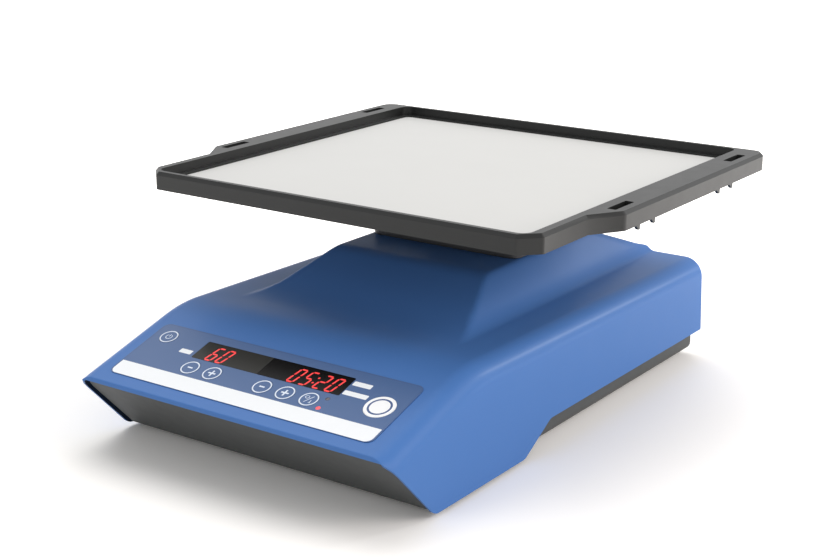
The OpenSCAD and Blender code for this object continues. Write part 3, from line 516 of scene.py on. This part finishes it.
def roof(y, t):
    """Height of the panel and the roof behind it, t below the outer face."""
    panel = LIP_Z + (y - FRONT_Y) * math.tan(PANEL_ANGLE) - t / math.cos(PANEL_ANGLE)
    return smin(panel, roof_line(y) - t / math.cos(ROOF_FALL), KNEE_SOFT)


END_SLOPES = ((HUMP_Z - roof_line(FOOT_Y)) / HUMP_RUNS[0], (HUMP_Z - roof_line(REAR_Y)) / HUMP_RUNS[1])


def foot_x(y):
    """Half the hump's width where it meets the roof."""
    share = max(0, (y - FOOT_Y) / (REAR_Y - FOOT_Y))
    return (FOOT_W[0] + (FOOT_W[1] - FOOT_W[0]) * share) / 2


def side_slope(y):
    """How steeply the hump's sides fall."""
    return (HUMP_Z - roof_line(y)) / (foot_x(y) - HUMP_W / 2)


def hump(x, y, t):
    """Height of the hump's top, sides and ends, t below the outer face."""
    m = side_slope(y)
    side = HUMP_Z - (abs(x) - HUMP_W / 2) * m - t * math.hypot(1, m)
    front = HUMP_Z - (HUMP_Y[0] - y) * END_SLOPES[0] - t * math.hypot(1, END_SLOPES[0])
    rear = HUMP_Z - (y - HUMP_Y[1]) * END_SLOPES[1] - t * math.hypot(1, END_SLOPES[1])
    return smin(smin(HUMP_Z - t, side, EDGE_SOFT), smin(front, rear, EDGE_SOFT), EDGE_SOFT)


def skin(x, y, t):
    """Height of the roof and hump together, with a soft crease between them."""
    return smax(roof(y, t), hump(x, y, t), CREASE_SOFT)


def lower_edge():
    """The cover's lower edge in side view, as (y, z) points from the lip to the rear wall."""
    path = [
        (FRONT_Y, UNDER_Z, 0),
        (NOSE_Y, SKID_Z, NOSE_R),
        (SKID_END_Y, SKID_Z, STEP_R),
        (SKID_END_Y + STEP_RUN, RAISED_Z, STEP_R),
        (REAR_Y, RAISED_Z, REAR_R),
        (REAR_Y, HUMP_Z, 0),
    ]
    flat = [Vector(p[:2]) for p in path]
    points = [flat[0]]
    for i in range(1, len(path) - 1):
        points += corner(flat[i - 1], flat[i], flat[i + 1], path[i][2], 10)
    return points


LOWER_EDGE = lower_edge()


def lower_z(y):
    """Height of the cover's lower edge."""
    for a, b in zip(LOWER_EDGE, LOWER_EDGE[1:]):
        if y <= b[0]:
            share = 0 if b[0] == a[0] else (y - a[0]) / (b[0] - a[0])
            return a[1] + (b[1] - a[1]) * share
    return LOWER_EDGE[-1][1]


def spread(values, step):
    """The values in order, with points between them no further apart than step."""
    ordered = sorted(set(round(v, 4) for v in values))
    out = []
    for a, b in zip(ordered, ordered[1:]):
        out += steps(a, b, max(1, math.ceil((b - a) / step)))[:-1]
    return out + [ordered[-1]]


RIDGE_COLUMNS = (-6, -4.5, -3, -1.8, -0.6, 0.6, 1.8, 3, 4.5)
FOOT_REACH = 9
LEAST_GAP = 1.5
ARC_PARTS = 14
WALL_PARTS = 6


def ridge_x(y):
    """Half the width of the hump's top, or of its sloping ends, kept off the hump's foot."""
    fall = max(0, (HUMP_Y[0] - y) * END_SLOPES[0], (y - HUMP_Y[1]) * END_SLOPES[1])
    return min(HUMP_W / 2 + fall / side_slope(y), foot_x(y) - FOOT_REACH)


def roof_columns(y, end):
    """Places across the roof, close together along the hump's ridges and feet."""
    ridge = [ridge_x(y) + d for d in RIDGE_COLUMNS]
    foot = foot_x(y)
    inner = steps(0, ridge[0], 6)[:-1]
    gap = steps(ridge[-1], max(foot - FOOT_REACH, ridge[-1] + LEAST_GAP), 4)[1:-1]
    crease = steps(gap[-1], foot + FOOT_REACH, 10)[1:]
    outer = steps(foot + FOOT_REACH, end, 4)[1:]
    return inner + ridge + gap + crease + outer


def half_row(y, t):
    """One cross-section of the skin, from the middle of the roof to the lower edge."""
    r = SHOULDER_R - t
    zc = roof(y, t) - r
    wall = COVER_W / 2 - t / math.cos(SIDE_DRAFT)
    xc = wall - zc * math.tan(SIDE_DRAFT) - r / math.cos(SIDE_DRAFT)
    low = lower_z(y)
    low_angle = math.asin(max(-1, min(1, (low - zc) / r)))
    points = [(x, y, skin(x, y, t)) for x in roof_columns(y, xc)]
    for a in steps(math.pi / 2, max(SIDE_DRAFT, low_angle), ARC_PARTS)[1:]:
        points.append((xc + r * math.cos(a), y, zc + r * math.sin(a)))
    arc_x, _, arc_z = points[-1]
    foot_z = min(low, arc_z)
    foot = arc_x + (arc_z - foot_z) * math.tan(SIDE_DRAFT)
    wall_places = zip(steps(arc_x, foot, WALL_PARTS), steps(arc_z, foot_z, WALL_PARTS))
    points += [(x, y, z) for x, z in wall_places][1:]
    return points


def full_row(y, t=0):
    """A cross-section from one lower edge over the roof to the other."""
    half = half_row(y, t)
    return [(-x, yy, z) for x, yy, z in reversed(half[1:])] + half


LIP_ROUND = 0.9
REAR_ROUND = 3.2
KNEE_ROWS = (-15, -8, -3, 0, 3, 8, 15)
FINE_ROWS = ((FOOT_Y, 18), (HUMP_Y[0], 8), (HUMP_Y[1], 9))
ROW_STEP = 4.5


def cover_shape():
    """The skin from the front lip to the rear wall, with both ends closed."""
    marks = [p[0] for p in LOWER_EDGE] + [KNEE_Y + d for d in KNEE_ROWS]
    for edge, reach in FINE_ROWS:
        marks += steps(edge - reach, edge + reach, 12)
    front, rear = FRONT_Y + LIP_ROUND, REAR_Y - REAR_ROUND
    ys = [y for y in spread([*marks, front, rear], ROW_STEP) if front < y < rear]
    quarter = steps(0, math.pi / 2, 6)
    rows = [full_row(front - LIP_ROUND * math.cos(a), LIP_ROUND * (1 - math.sin(a))) for a in quarter]
    rows += [full_row(y) for y in ys]
    rows += [full_row(rear + REAR_ROUND * math.sin(a), REAR_ROUND * (1 - math.cos(a))) for a in quarter]
    shape = Shape()
    shape.grid(rows)
    n = len(rows[0])
    last = (len(rows) - 1) * n
    shape.faces += [list(range(n)), list(range(last + n - 1, last - 1, -1))]
    return shape


def cutters():
    """Everything that is punched through the cover, as one mesh."""
    reach, gap = 6, 0.15
    shape = Shape()
    window = round_rect(*WINDOW_AT, WINDOW_SIZE[0] + 2 * gap, WINDOW_SIZE[1] + 2 * gap, 1)
    shape.prism(window, -reach, reach, on_panel)
    for x, s, d in KEYS.values():
        shape.prism(circle(x, s, d / 2 + KEY_GAP), -reach, reach, on_panel)
    for x, s in LEDS_AT:
        shape.prism(circle(x, s, LED_D / 2 + gap, 24), -reach, reach, on_panel)
    slot = round_rect(*ROD_SLOT_AT, *ROD_SLOT, ROD_SLOT_R)
    shape.prism(slot, HUMP_Z - reach, HUMP_Z + reach, lambda x, y, z: (x, y, z))
    socket = circle(*SOCKET_AT, SOCKET_D / 2)
    shape.prism(socket, -REAR_Y - reach, -REAR_Y + reach, lambda x, z, h: (x, -h, z))
    return shape


SKIN_T = 0.85 * SHEET_T
SKIN_EDGE = 0.35


def cover():
    """The skin with a thickness a little less than the CAD sheet's, and with its openings."""
    obj = make("cover_skin", cover_shape(), FINISHES["cover_paint"].mat, "base")
    # The solidified inner faces take the darker copy: painted shade for the inside of the cover.
    obj.data.materials.append(INNER_PAINTED_SHADE.mat)
    obj.data.shade_smooth()
    wall = obj.modifiers.new("wall", "SOLIDIFY")
    wall.thickness = SKIN_T * MM
    wall.offset = -1
    wall.use_even_offset = True
    wall.material_offset = 1
    soften(obj, SKIN_EDGE, angle=60, segments=2)
    bake(obj)
    punch = make("cover_punch", cutters(), FINISHES["cover_paint"].mat, None)
    cut = obj.modifiers.new("openings", "BOOLEAN")
    cut.object = punch
    cut.solver = "EXACT"
    bake(obj)
    bpy.data.objects.remove(punch)
    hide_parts("top_cover")


cover()


# ---- prints on the control panel ----
INK_LOW, INK_HIGH = -0.03, 0.03
LINE_EDGE = 0.5
LINE_W = 0.35
STRIPE_W = 201.6
STRIPE_S = (FOIL_S + 0.2, 22.5)
STRIPE_R = 4.6
PLATES = ((-66.7, 44.3, 9.6), (64.6, 54.0, 13.2), (66.2, 44.5, 17.4))
PLATE_H = 4
PLATE_R = 0.7


def place_print(x, s, h):
    """A point h above the film's face."""
    return on_panel(x, s, FOIL_T + h)


def foil_outline(inset):
    middle = (0, FOIL_S + FOIL_LEN / 2)
    return round_rect(*middle, FOIL_W - 2 * inset, FOIL_LEN - 2 * inset, FOIL_R - inset)


def panel_lines():
    """A thin dark line just inside the film's edge: partly the film's printed border, partly painted shade
    along that edge.
    """
    shape = Shape()
    outer, inner = foil_outline(LINE_EDGE), foil_outline(LINE_EDGE + LINE_W)
    shape.band(outer, inner, INK_LOW, INK_HIGH / 2, place_print)
    make("panel_lines", shape, LINE_INK_AND_SHADE.mat, "base")


def panel_stripe():
    """The bare white stripe with round lower corners, and the three bare plates by the window."""
    shape = Shape()
    low, high = STRIPE_S
    places = ((-1, high), (-1, low), (1, low), (1, high))
    a, b, c, d = [Vector((side * STRIPE_W / 2, s)) for side, s in places]
    outline = [a, *corner(a, b, c, STRIPE_R), *corner(b, c, d, STRIPE_R), d]
    shape.prism([tuple(p) for p in outline], INK_LOW, INK_HIGH, place_print)
    for x, s, w in PLATES:
        shape.prism(round_rect(x, s, w, PLATE_H, PLATE_R), INK_LOW, INK_HIGH, place_print)
    make("panel_stripe", shape, WHITE_INK.mat, "base")


panel_lines()
panel_stripe()


# ---- signs on the keys ----
RIM_IN = 0.1
RIM_W = 0.85
MINUS_SIZE = (3.9, 1.15)
PLUS_ARM = 2.8
PLUS_HALF_W = 0.57
START_RING = (7.6, 6.3)


def bar(x, s, w, h):
    return [(x + i * w / 2, s + j * h / 2) for i, j in ((-1, -1), (1, -1), (1, 1), (-1, 1))]


def open_ring(x, s, r, t, gap_at, gap_half):
    """A ring of radius r and width t, open about the angle gap_at, in degrees."""
    start, end = math.radians(gap_at + gap_half), math.radians(gap_at - gap_half + 360)
    angles = steps(start, end, 24)
    return around(x, s, r, angles) + around(x, s, r - t, reversed(angles))


def minus(shape, x, s, place):
    shape.prism(bar(x, s, *MINUS_SIZE), INK_LOW, INK_HIGH, place)


def plus(shape, x, s, place):
    arm, t = PLUS_ARM, PLUS_HALF_W
    cross = [(t, t), (t, arm), (-t, arm), (-t, t), (-arm, t), (-arm, -t)]
    cross += [(-t, -t), (-t, -arm), (t, -arm), (t, -t), (arm, -t), (arm, t)]
    shape.prism([(x + a, s + b) for a, b in cross], INK_LOW, INK_HIGH, place)


def standby(shape, x, s, place):
    """A ring open at the top, with a bar in the gap."""
    line, r = 0.5, 2.4
    shape.prism(open_ring(x, s, r, line, 90, 35), INK_LOW, INK_HIGH, place)
    shape.prism(bar(x, s + 1.4, line, r), INK_LOW, INK_HIGH, place)


def mode(shape, x, s, place):
    """A little clock, a slanting stroke and a tally mark."""
    line, rise = 0.5, 3.2
    clock = open_ring(x - 2.1, s + 1.6, 1.5, 0.4, 85, 15)
    low, high = x - 1.9, x + 1.6
    stroke = [(low, s - rise), (low + line, s - rise), (high + line, s + rise), (high, s + rise)]
    tally = bar(x + 2.2, s - 1.8, line, 2.6)
    tally_foot = bar(x + 2.2, s - 2.9, 1.5, 0.4)
    for outline in (clock, stroke, tally, tally_foot):
        shape.prism(outline, INK_LOW, INK_HIGH, place)


def start_ring(shape, x, s, place):
    """The dark ring on the start key's white face."""
    outer, inner = [circle(x, s, r, 64) for r in START_RING]
    shape.band(outer, inner, INK_LOW, INK_HIGH, place)


def key_sign(node, draw, material, rim=True):
    """A print on a key's cap, moving with the key."""
    x, s, d = KEYS[node]
    shape = Shape()

    def place(px, ps, h):
        return on_panel(px, ps, FOIL_T + KEY_PROUD + h)

    if rim:
        r = d / 2 - RIM_IN
        shape.band(circle(x, s, r), circle(x, s, r - RIM_W), INK_LOW, INK_HIGH, place)
    draw(shape, x, s, place)
    make(node.replace("_key", "_symbol"), shape, material, node)


key_sign("speed_down_key", minus, PALE_INK.mat)
key_sign("speed_up_key", plus, PALE_INK.mat)
key_sign("time_down_key", minus, PALE_INK.mat)
key_sign("time_up_key", plus, PALE_INK.mat)
key_sign("mode_key", mode, PALE_INK.mat)
key_sign("power_key", standby, PALE_INK.mat)
key_sign("start_key", start_ring, LINE_INK_AND_SHADE.mat, rim=False)


# ---- digits ----
SEGMENTS = {"0": "abcdef", "2": "abdeg", "5": "acdfg", "6": "acdefg"}
DIGIT_H = 14.2
DIGIT_W = 6
DIGIT_S = WINDOW_AT[1] - 1.4
DIGIT_GROUPS = (("60", -48.6, 8.4), ("05", 16.9, 9), ("20", 36.4, 9))
STROKE = 1.3
SEGMENT_GAP = 0.22
SLANT = math.tan(math.radians(11))
COLON_X = 34.2
COLON_REACH = 2.6
COLON_R = 0.75


def segment(kind):
    """Outline of one of the seven bars, about the digit's middle."""
    t = STROKE / 2
    half_h, half_w = DIGIT_H / 2 - t, DIGIT_W / 2 - t
    flat = {"a": half_h, "g": 0, "d": -half_h}
    if kind in flat:
        y, reach = flat[kind], half_w - SEGMENT_GAP
        left = [(-reach, y), (-reach + t, y - t)]
        return [*left, (reach - t, y - t), (reach, y), (reach - t, y + t), (-reach + t, y + t)]
    x = half_w if kind in "bc" else -half_w
    low, high = SEGMENT_GAP, half_h - SEGMENT_GAP
    if kind not in "bf":
        low, high = -high, -low
    right = [(x, low), (x + t, low + t), (x + t, high - t), (x, high)]
    return [*right, (x - t, high - t), (x - t, low + t)]


def lean(points, x):
    """Points about a digit's middle, slanted and put at x in the window."""
    return [(x + px + py * SLANT, DIGIT_S + py) for px, py in points]


def digits():
    """Two speed digits and four timer digits with a colon."""
    shape = Shape()
    for text, left, pitch in DIGIT_GROUPS:
        for i, digit in enumerate(text):
            mid = left + DIGIT_W / 2 + i * pitch
            for kind in SEGMENTS[digit]:
                shape.prism(lean(segment(kind), mid), INK_LOW, INK_HIGH, place_print)
    for y in (-COLON_REACH, COLON_REACH):
        shape.prism(lean(circle(0, y, COLON_R, 16), COLON_X), INK_LOW, INK_HIGH, place_print)
    make("display_digits", shape, RED_LIGHT.mat, "base")


digits()


# ---- floor, lights and camera: places in metres ----
FLOOR_HALF = 4
# Where it is seen, the floor is painted dimmer within the first reach of the middle and brighter past the
# second: painted shade that deepens the object's shadow close by while the far floor turns white. The tint
# is painted warm against the blue light the cover throws onto the floor.
BRIGHT_REACH = (0.3, 0.6)
BRIGHT_LEVEL = (1.1, 1.9)
BRIGHT_TINT = (1, 0.985, 0.965)
WORLD_LIGHT = 0.55
WORLD_SEEN = 1.0
IMAGE_WIDTH = 840
FOCAL_PX = 1572.82
SENSOR_W = 36
CAMERA_AT = (0.5867, -0.8267, 0.3884)
CAMERA_PITCH = math.radians(90 - 16.717)
CAMERA_YAW = math.radians(35.166)


def seen_directly(tree):
    """1 for rays that show the background itself, in the picture or in a gloss or glass."""
    path = tree.nodes.new("ShaderNodeLightPath")
    seen = path.outputs["Is Camera Ray"]
    for ray in ("Is Glossy Ray", "Is Transmission Ray"):
        either = tree.nodes.new("ShaderNodeMath")
        either.operation = "MAXIMUM"
        tree.links.new(seen, either.inputs[0])
        tree.links.new(path.outputs[ray], either.inputs[1])
        seen = either.outputs["Value"]
    return seen


def floor():
    """White floor that keeps its soft shadow; brighter where it is seen than where it lights, and where it
    is seen painted dimmer near the object, which deepens the shadow there.
    """
    half = FLOOR_HALF / MM
    shape = Shape()
    shape.add([(-half, -half, 0), (half, -half, 0), (half, half, 0), (-half, half, 0)], [[0, 1, 2, 3]])
    mat = bpy.data.materials.new("floor_white")
    mat.use_nodes = True
    tree = mat.node_tree
    plain = tree.nodes["Principled BSDF"]
    plain.inputs["Base Color"].default_value = (0.8, 0.8, 0.8, 1)
    plain.inputs["Roughness"].default_value = 0.8
    coords = tree.nodes.new("ShaderNodeTexCoord")
    away = tree.nodes.new("ShaderNodeVectorMath")
    away.operation = "LENGTH"
    tree.links.new(coords.outputs["Object"], away.inputs[0])
    # painted shade: the seen floor is dimmer near the object and brighter farther out
    level = map_range(tree, away.outputs["Value"], *BRIGHT_REACH, *BRIGHT_LEVEL)
    tint = tree.nodes.new("ShaderNodeVectorMath")
    tint.operation = "SCALE"
    tint.inputs[0].default_value = BRIGHT_TINT
    tree.links.new(level, tint.inputs["Scale"])
    bright = tree.nodes.new("ShaderNodeBsdfDiffuse")
    tree.links.new(tint.outputs["Vector"], bright.inputs["Color"])
    mixed = tree.nodes.new("ShaderNodeMixShader")
    tree.links.new(seen_directly(tree), mixed.inputs["Fac"])
    tree.links.new(plain.outputs["BSDF"], mixed.inputs[1])
    tree.links.new(bright.outputs["BSDF"], mixed.inputs[2])
    tree.links.new(mixed.outputs["Shader"], tree.nodes["Material Output"].inputs["Surface"])
    make("floor", shape, mat, None)


def lamp(name, place, target, size, power, colour=(1, 1, 1), roll=0.0):
    """A soft rectangular lamp aimed at a point, turned about its own axis by roll."""
    data = bpy.data.lights.new(name, "AREA")
    data.shape = "RECTANGLE"
    data.size, data.size_y = size
    data.energy = power
    data.color = colour
    obj = bpy.data.objects.new(name, data)
    bpy.context.scene.collection.objects.link(obj)
    obj.location = place
    obj.rotation_euler = (Vector(target) - Vector(place)).to_track_quat("-Z", "Y").to_euler()
    obj.rotation_euler.rotate_axis("Z", roll)


def world():
    """A white surround, as bright as it looks only where it is seen."""
    made = bpy.data.worlds.new("studio")
    made.use_nodes = True
    tree = made.node_tree
    background = tree.nodes["Background"]
    background.inputs["Color"].default_value = (1, 1, 1, 1)
    strength = map_range(tree, seen_directly(tree), 0, 1, WORLD_LIGHT, WORLD_SEEN)
    tree.links.new(strength, background.inputs["Strength"])
    bpy.context.scene.world = made


def camera():
    """The photograph's viewpoint, found from the panel's and tray's corners."""
    data = bpy.data.cameras.new("camera")
    data.sensor_width = SENSOR_W
    data.lens = FOCAL_PX / IMAGE_WIDTH * SENSOR_W
    data.clip_start = 0.05
    data.clip_end = 20
    obj = bpy.data.objects.new("camera", data)
    obj.location = CAMERA_AT
    obj.rotation_euler = (CAMERA_PITCH, 0, CAMERA_YAW)
    bpy.context.scene.collection.objects.link(obj)
    bpy.context.scene.camera = obj


floor()
world()
camera()
lamp(
    "top_softbox",
    place=(-0.62, 0.55, 1.78),
    target=(0, 0, 0),
    size=(1.8, 1.8),
    power=22,
)
lamp(
    "right_softbox",
    place=(1.65, 0.35, 0.9),
    target=(0, 0, 0.08),
    size=(1.2, 1.0),
    power=17,
    colour=(1, 0.93, 0.89),
)
lamp(
    "front_fill",
    place=(-0.6, -1.9, 0.7),
    target=(0, -0.1, 0.05),
    size=(1.4, 0.8),
    power=6,
)
lamp(
    "shoulder_strip",
    place=(1.15, 1.7, 0.78),
    target=(0.1, 0, 0.06),
    size=(0.2, 0.6),
    power=9.5,
    roll=math.radians(40),
)
bpy.context.scene.view_settings.view_transform = "Standard"
